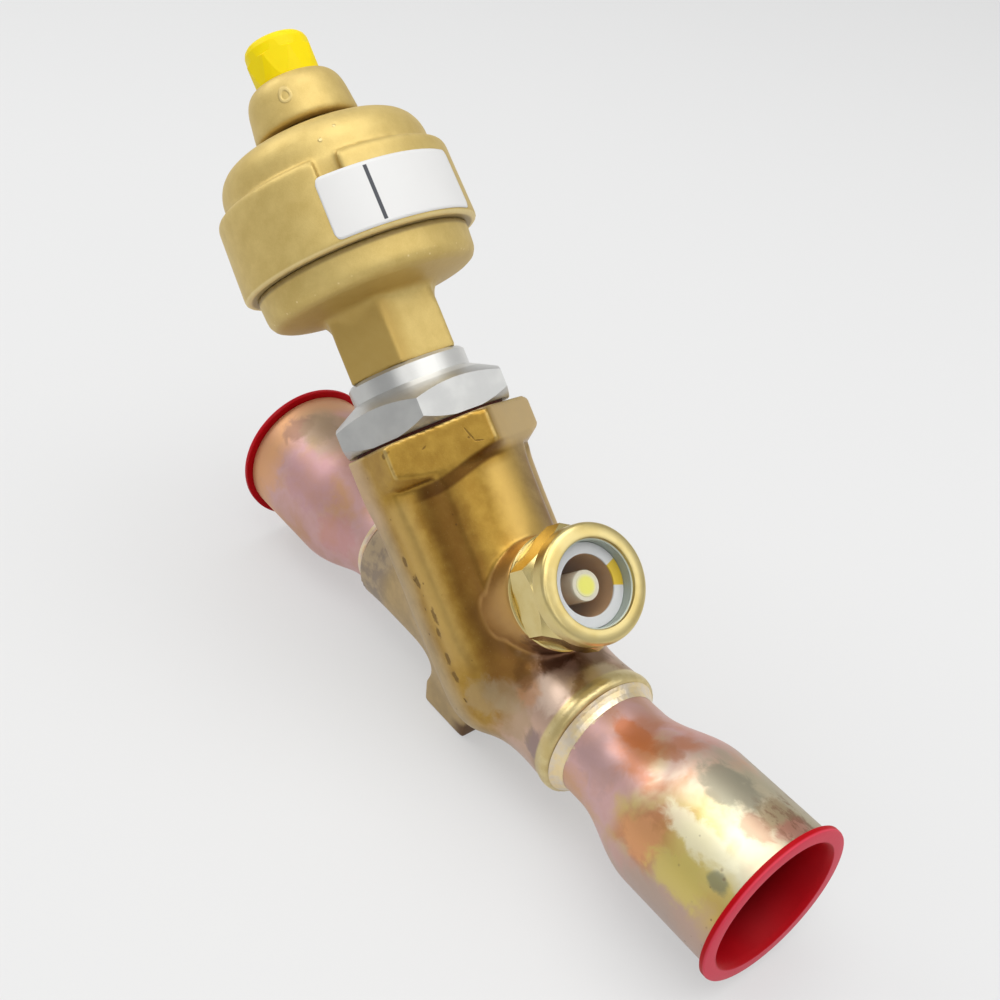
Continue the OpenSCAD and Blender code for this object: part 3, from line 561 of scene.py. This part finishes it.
# Transport caps: soft red polythene cups pushed into the tube mouths until the pipes are fitted.
# The thin flange lets light through and looks pink; the cup is deep red.
red, red_shader, place = surface(
    "red_polythene", Roughness=0.45, Specular_IOR_Level=0.08, Subsurface_Weight=0.08,
    Subsurface_Radius=(1.0, 0.25, 0.2), Subsurface_Scale=0.002)
mm = place.scaled((1000, 1000, 1000))
reach = mm.node("ShaderNodeVectorMath", {"operation": "LENGTH"}, {0: mm.scaled((0, 1, 1))}, 1)
outward = abs(place.along((1, 0, 0), (LINE_LEN / 2, 0, 0)) * 1000)
flange = reach.rise(17.2, 17.7) * outward.rise(93.2, 93.7)
cloud = mm.noise(0.2, 3.0)
colour = cloud.tint(srgb(176, 4, 18), srgb(160, 2, 13))
colour = (flange * 0.7).tint(colour, srgb(214, 74, 94))
# Painted shade: the cup is painted darker towards its bottom.
painted_cup_shade = outward.fall(79.0, 93.0)
(painted_cup_shade * 0.9).tint(colour, srgb(84, 0, 4)).into(red_shader, "Base Color")
mm.noise(1.2, 2.0).bump(red_shader, 0.00008, 0.4)


def in_metres(*points):
    """A profile in metres from (radius, distance) in millimetres."""
    return [(radius / 1000, along / 1000) for radius, along in points]


cap_inside = in_metres((0, 13.1), (15.15, 13.1), (15.5, 9.5), (16.4, -0.2), (17.25, -1.55), (17.45, -1.7))
cap_flange = in_metres((20.2, -1.7), (20.55, -1.55), (20.7, -1.2), (20.7, -0.25), (20.5, -0.05))
cap_plug = in_metres((17.25, -0.05), (16.75, 13), (15.95, 14), (0, 14))
for name, node, mouth, direction in (("red_inlet_cap", "inlet_cap", 0.0, 1),
                                     ("red_outlet_cap", "outlet_cap", LINE_LEN, -1)):
    cap = turned_piece(name, cap_inside + cap_flange + cap_plug, Vector((mouth, 0, 0)),
                       Vector((direction, 0, 0)), ACROSS)
    cap.data.materials.append(red)
    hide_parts(node)
    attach(cap, node)

# Sight glass fitting: a polished brass hexagon with a round flange, screwed into the boss over a seal.
# Its chamfers are turned; the bezel in front is rolled over the window and its lip is rounded.
SIGHT_AT = CROSS + LEAN * (BOSS_UP / 1000)
FLAT = 13.0
FIRST_CORNER = math.radians(144)
FITTING_SEGMENTS = 180


def fitting_profile(angle):
    """The wall of the fitting at one angle: thread, flange, hexagon with its chamfers, bezel and seat."""
    off_flat = (angle - FIRST_CORNER) % (math.pi / 3) - math.pi / 6
    reach = FLAT / math.cos(off_flat)
    cut = reach - FLAT
    thread = in_metres((7.1, 17.5), (9.46, 17.5), (9.46, 27.8))
    flange = in_metres((13.6, 27.8), (13.9, 28.1), (13.9, 28.5), (13.6, 28.8))
    hexagon = in_metres((12.8, 28.9), (reach, 29.0 + cut * 0.7), (reach, 37.8 - cut), (12.8, 37.9))
    bezel = in_metres((12.8, 38.2), (13.5, 38.3), (13.8, 38.7), (13.8, 41.7), (13.7, 42.1), (13.45, 42.5))
    lip = in_metres((13.1, 42.75), (12.6, 42.9), (11.6, 43.05), (10.6, 43.1), (10.25, 43.0), (10.1, 42.7))
    seat = in_metres((10.05, 42.3), (9.79, 42.1), (9.79, 38.8), (7.1, 38.8))
    return thread + flange + hexagon + bezel + lip + seat


fitting = turned_piece("polished_fitting", fitting_profile, SIGHT_AT, SIGHT, ACROSS, FITTING_SEGMENTS)
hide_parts("sight_fitting")
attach(fitting, "valve")
polished, polished_shader, place = surface("polished_brass")
mm = place.scaled((1000, 1000, 1000))
across = place.along(ACROSS) * 1000
rising = place.along(LEAN, SIGHT_AT) * 1000
away = distance(across, rising)
seat = away.fall(9.95, 10.1)
bore = away.fall(7.2, 7.5)
stain = mm.noise(0.12, 3.0)
colour = stain.rise(0.4, 0.7).tint(srgb(216, 198, 138), srgb(206, 184, 118))
colour = seat.tint(colour, srgb(176, 186, 176))
bore.tint(colour, srgb(206, 166, 122)).into(polished_shader, "Base Color")
bezel = (place.along(SIGHT, SIGHT_AT) * 1000).rise(38.2, 38.3)
(0.18 + mm.noise(0.8, 3.0) * 0.05 + bezel * 0.12 + seat * 0.3).into(polished_shader, "Roughness")
(1.0 - seat * 0.85).into(polished_shader, "Metallic")
mm.noise(2.0, 3.0).bump(polished_shader, 0.00001, 0.3)
fitting.data.materials.append(polished)

# Gaskets: dark fibre rings under the sight fitting and under the union nut.
# Each is squeezed between machined faces, so only a thin line of it shows.
seal, seal_shader, place = surface("dark_gasket", Roughness=0.7)
place.noise(900.0).tint(srgb(112, 46, 30), srgb(74, 34, 24)).into(seal_shader, "Base Color")
place.noise(3000.0).bump(seal_shader, 0.00005, 0.4)
dress(seal, "sight_seal", "body_gasket")

# Moisture indicator: a white printed ring with one yellow field, seated behind the window.
# Inside it a pale moulded stem carries the dot that changes colour; the window is flat clear glass.
# The stem's pale plastic also makes the piston's seal and the two large gears of the drive.
glass, glass_shader, place = surface("window_glass", Roughness=0.03, IOR=1.5, Alpha=0.08)
place.noise(200.0).tint((0.10, 0.09, 0.07), (0.12, 0.11, 0.09)).into(glass_shader, "Base Color")

printed, printed_shader, place = surface("indicator_print", Roughness=0.5)
turn = place.along(LEAN, SIGHT_AT).math("ARCTAN2", place.along(ACROSS))
field = turn.rise(-0.38, -0.35) * turn.fall(0.3, 0.33)
shade = place.noise(700.0, 2.0).tint(srgb(236, 237, 238), srgb(222, 224, 226))
field.tint(shade, srgb(236, 200, 40)).into(printed_shader, "Base Color")

ivory, ivory_shader, place = surface("ivory_plastic", Roughness=0.55)
place.noise(600.0).tint(srgb(238, 232, 210), srgb(226, 219, 194)).into(ivory_shader, "Base Color")
place.noise(4000.0).bump(ivory_shader, 0.00002, 0.3)
dress(ivory, "indicator_stem", "piston_seal", "output_gear", "idler_gear")

dot, dot_shader, place = surface("indicator_dot", Roughness=0.5)
from_dot = distance(place.along(LEAN, SIGHT_AT), place.along(ACROSS))
from_dot.rise(0.0016, 0.0027).tint(srgb(250, 246, 116), srgb(242, 238, 190)).into(dot_shader, "Base Color")

for name, node, material, slot, inner, outer, back, face in (
        ("sight_window", "sight_glass", glass, "glass", 0.0, 9.74, 39.35, 42.1),
        ("printed_ring", "indicator_ring", printed, "white_plastic", 7.1, 9.71, 38.85, 39.3),
        ("stem_head", None, ivory, "white_plastic", 0.0, 3.54, 37.0, 38.6),
        ("colour_dot", "indicator_dot", dot, "yellow_dot", 0.0, 2.6, 38.6, 38.75)):
    disc = in_metres((inner, back), (outer, back), (outer, face - 0.15), (outer - 0.1, face), (inner, face))
    part = turned_piece(name, disc, SIGHT_AT, SIGHT, ACROSS)
    part.data.materials.append(material)
    if node:
        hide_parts(node)
    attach(part, "valve")

# Union nut: bright plated steel, hexagon below and a round collar above, with machined chamfers.
# It is screwed down on the body and holds the actuator's base; the lathe leaves fine rings.
LATHE_RIPPLE = 9.0
plated, plated_shader, place = surface("bright_plating", Metallic=0.78)
mm = place.scaled((1000, 1000, 1000))
cloud = mm.noise(0.12, 3.0)
height = place.along(LEAN, CROSS) * 1000
around = place.along(ACROSS).math("ARCTAN2", place.along(SIGHT, CROSS))
# Painted highlight: the collar is painted brighter on its lit side.
collar = height.rise(71.9, 72.5) * around.rise(-0.8, -0.45)
colour = cloud.rise(0.3, 0.7).tint(srgb(182, 182, 180), srgb(197, 197, 194))
(collar * 0.85).tint(colour, srgb(224, 223, 219)).into(plated_shader, "Base Color")
(0.3 + mm.noise(1.0) * 0.08).into(plated_shader, "Roughness")
rings = (height * LATHE_RIPPLE).math("SINE")
(rings * 0.2 + mm.noise(3.0, 2.0)).bump(plated_shader, 0.00002, 0.3)
dress(plated, "union_nut")

# Actuator castings: base, housing and connector collar in brass, shot-blasted to a fine dull grain.
# The drum's lower edge is rubbed bright and carries a painted highlight, a few pips are rubbed bright, and
# the flats are slightly uneven.
# The heights are millimetres up the actuator's axis from CROSS.
BOWL_EDGE_UP = 98.8
SEAM_UP = 105.6
DRUM_FOOT_UP = 106.3
PIPS_UP = 132.0
GROOVE_UP = 139.3
DROP_UP = 147.0
DROP_TURN = -0.68
COLLAR_R = 12.9
CAST_TURNS, CAST_SOFT = 8, 0.6
BASE_VOXEL, BASE_TURNS = 0.0006, 14
cast, cast_shader, place = surface("blasted_brass", Specular_IOR_Level=0.45)
mm = place.scaled((1000, 1000, 1000))
height = place.along(LEAN, CROSS) * 1000
out = place.along(SIGHT, CROSS) * 1000
side = place.along(ACROSS) * 1000
turn = side.math("ARCTAN2", out)
grain = mm.noise(3.2, 3.0, 0.6)
cloud = mm.noise(0.05, 3.0)
pips = mm.cells(0.3).fall(0.08, 0.2) * height.near(PIPS_UP, 1.5, 3.5) * turn.near(-0.48, 0.15, 0.3)
drop_x = (turn - DROP_TURN) * COLLAR_R
drop_y = height - DROP_UP
drop = (drop_x * drop_x + drop_y * drop_y * (1.0 - drop_y.rise(-0.5, 2.0) * 0.5)).math("SQRT")
tear = drop.near(1.35, 0.15, 0.55)
blotch = mm.noise(0.3, 4.0, 0.6)
uneven = cloud * 0.45 + blotch * 0.35 + grain * 0.2
colour = uneven.rise(0.32, 0.68).tint(srgb(194, 167, 96), srgb(213, 188, 118))
colour = (pips * 0.5 | tear * 0.25).tint(colour, srgb(232, 214, 160))
# Wear and painted highlight: a bright line round the drum's lower edge.
edge = height.near(DRUM_FOOT_UP, 0.2, 0.6) * 0.6
colour = edge.tint(colour, srgb(236, 216, 160))
# Dark joint and painted shadow: a brown line on the flange just under the drum's rim.
seam_and_rim_shadow = height.near(SEAM_UP, 0.5, 1.3) * distance(out, side).fall(28.4, 29.2)
colour = (seam_and_rim_shadow * 0.65).tint(colour, srgb(106, 80, 34))
glint = mm.cells(0.55).fall(0.06, 0.2) * (height + (cloud - 0.5) * 3.0).near(BOWL_EDGE_UP, 0.4, 1.4)
colour = (glint * 0.6).tint(colour, srgb(240, 222, 168))
# Painted shade: the bowl is painted darker under its edge, in a band all round and lower down on its left.
painted_bowl_shade = height.fall(96.0, 99.5) * (turn.fall(-0.5, -0.15) | height.rise(93.8, 95.2))
colour = (painted_bowl_shade * 0.7).tint(colour, srgb(176, 144, 72))
groove = height.near(GROOVE_UP, 1.0, 1.9) * 0.8
colour = groove.tint(colour, srgb(104, 66, 28))
colour.into(cast_shader, "Base Color")
(0.43 + grain * 0.14 - pips * 0.12 - glint * 0.1).into(cast_shader, "Roughness")
(0.46 + cloud * 0.12 - seam_and_rim_shadow * 0.4).into(cast_shader, "Metallic")
(grain + pips * 6.0 + tear * 8.0 + cloud * 2.0 + blotch * 1.5 + glint).bump(cast_shader, 0.00006, 0.55)


def cast_softness(points):
    """The same light rounding all over."""
    return np.full(len(points), CAST_SOFT)


for name, node, voxel in (("cast_housing", "motor_housing", 0.00055),
                          ("cast_collar", "connector_body", 0.0004)):
    casting = forged_copy(name, node, voxel, CAST_TURNS, cast_softness)
    casting.data.materials.append(cast)
    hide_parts(node)
    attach(casting, "valve")


def base_softness(points):
    """One where the bowl runs into the neck, near zero on the neck's flats and the flange."""
    p = (points - np.array(CROSS)) * 1000
    up = p @ np.array(LEAN)
    axis = np.hypot(p @ np.array(SIGHT), p[:, 1])
    soft = np.where((axis > 11.5) & (up > 79) & (up < 101), 1.0, 0.0)
    return soft * (0.02 + 0.98 * step(up, 88, 92.5) * step(-up, -97.5, -95))


bowl = forged_copy("cast_base", "actuator_base", BASE_VOXEL, BASE_TURNS, base_softness)
bowl.data.materials.append(cast)
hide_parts("actuator_base")
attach(bowl, "valve")

# Label: a white film sticker bent round the drum, with rounded corners.
# It is left without print apart from a divider between its two blank fields.
LABEL_LOW, LABEL_HIGH = 0.1070, 0.1219
LABEL_FROM, LABEL_TO = math.radians(-36), math.radians(40)
LABEL_CORNER = 0.0016
LABEL_COLUMNS, LABEL_ROWS = 84, 20
FILM = 0.00012
DRUM_R = 0.0300


def drum_radius(h):
    """The drum tapers in two steps from its foot to its shoulder."""
    low, mid, high = (0.1064, 0.0303), (0.1140, 0.03006), (0.1248, 0.0297)
    if h < mid[0]:
        return low[1] + (mid[1] - low[1]) * (h - low[0]) / (mid[0] - low[0])
    return mid[1] + (high[1] - mid[1]) * (h - mid[0]) / (high[0] - mid[0])


def on_drum(angle, h, lift):
    """A place on the drum's wall, lifted off it."""
    r = drum_radius(h) + lift
    return CROSS + LEAN * h + SIGHT * (r * math.cos(angle)) + Vector((0, r * math.sin(angle), 0))


sheet = bmesh.new()
wide, tall = (LABEL_TO - LABEL_FROM) * DRUM_R, LABEL_HIGH - LABEL_LOW
grid = {}
for i in range(LABEL_COLUMNS + 1):
    u = wide * i / LABEL_COLUMNS
    inset = min(u, wide - u)
    trim = 0.0
    if inset < LABEL_CORNER:
        trim = LABEL_CORNER - math.sqrt(max(LABEL_CORNER ** 2 - (LABEL_CORNER - inset) ** 2, 0))
    for j in range(LABEL_ROWS + 1):
        v = trim + (tall - 2 * trim) * j / LABEL_ROWS
        grid[i, j] = sheet.verts.new(on_drum(LABEL_FROM + u / DRUM_R, LABEL_LOW + v, FILM))
for i in range(LABEL_COLUMNS):
    for j in range(LABEL_ROWS):
        face = sheet.faces.new((grid[i, j], grid[i + 1, j], grid[i + 1, j + 1], grid[i, j + 1]))
        face.smooth = True
sticker_mesh = bpy.data.meshes.new("label_film")
sheet.to_mesh(sticker_mesh)
sheet.free()
sticker = bpy.data.objects.new("label_film", sticker_mesh)
scene.collection.objects.link(sticker)
film = sticker.modifiers.new("film", "SOLIDIFY")
film.thickness = FILM
film.offset = -1
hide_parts("label")
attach(sticker, "valve")
paper, paper_shader, place = surface("white_film", Roughness=0.42)
height = place.along(LEAN, CROSS) * 1000
turn = place.along(ACROSS).math("ARCTAN2", place.along(SIGHT, CROSS))
divider = turn.near(-0.224, 0.013, 0.018) * height.rise(107.9, 108.0) * height.fall(121.0, 121.1)
blank = place.noise(60.0, 2.0).tint(srgb(219, 218, 216), srgb(213, 212, 210))
divider.tint(blank, srgb(48, 50, 58)).into(paper_shader, "Base Color")
place.noise(1500.0).bump(paper_shader, 0.00001, 0.2)
sticker.data.materials.append(paper)

# Connector: a black moulded insert holds the pins inside the collar's stem.
# It is pushed in from above; the O-ring on the base's spigot is as black and as dull.
black, black_shader, place = surface("black_moulding", Roughness=0.5)
place.noise(800.0).tint(srgb(34, 34, 36), srgb(22, 22, 24)).into(black_shader, "Base Color")
place.noise(5000.0).bump(black_shader, 0.00002, 0.3)
dress(black, "connector_insert", "spigot_seal")

# Connector cap: a bright yellow moulded cap pushed over the stem, with long flats down its side.
# Its soft plastic lets a little light in and keeps a slightly wavy skin.
yellow, yellow_shader, place = surface(
    "yellow_moulding", Roughness=0.42, Specular_IOR_Level=0.15, Subsurface_Weight=0.1, Subsurface_Scale=0.001)
mm = place.scaled((1000, 1000, 1000))
mm.noise(0.25, 2.0).tint(srgb(237, 213, 0), srgb(231, 205, 0)).into(yellow_shader, "Base Color")
mm.noise(0.9, 2.0).bump(yellow_shader, 0.0001, 0.3)
dress(yellow, "connector_cap")

# Drive inside the actuator: steel spindle, plates, stator, bearing and rotor shaft, machined and left bare.
# The valve cone is the same steel. All are seen only when the housing or the body is opened.
steel, steel_shader, place = surface("machined_steel", Metallic=1.0)
mm = place.scaled((1000, 1000, 1000))
mm.noise(0.4).tint(srgb(188, 191, 194), srgb(166, 170, 174)).into(steel_shader, "Base Color")
(0.3 + mm.noise(1.6) * 0.1).into(steel_shader, "Roughness")
mm.noise(5.0, 2.0).bump(steel_shader, 0.00002, 0.3)
dress(steel, "spindle_bearing", "spindle", "idler_pin", "gear_plate", "stator", "end_plate", "rotor_shaft",
      "valve_cone")

# Coils: enamelled copper wire wound in even layers on the stator.
# Each turn shows as a fine ridge round the coil.
WIRE_RIPPLE = 14000
wire, wire_shader, place = surface("enamelled_wire", Metallic=0.7, Roughness=0.35)
turns = (place.along(LEAN, CROSS) * WIRE_RIPPLE).math("SINE")
# Painted shade: the grooves between turns are painted darker than the crests.
turns.rise(-0.8, 0.8).tint(srgb(112, 52, 20), srgb(190, 104, 52)).into(wire_shader, "Base Color")
turns.bump(wire_shader, 0.0001, 0.6)
dress(wire, "coil_lower", "coil_upper")

# Rotor magnet: a sintered ring pressed on the rotor shaft.
# Its skin is dark, dull and slightly rough.
magnet, magnet_shader, place = surface("sintered_magnet", Metallic=0.3, Roughness=0.6)
place.noise(1200.0).tint(srgb(60, 62, 66), srgb(40, 42, 45)).into(magnet_shader, "Base Color")
place.noise(3500.0).bump(magnet_shader, 0.00003, 0.4)
dress(magnet, "rotor_magnet")
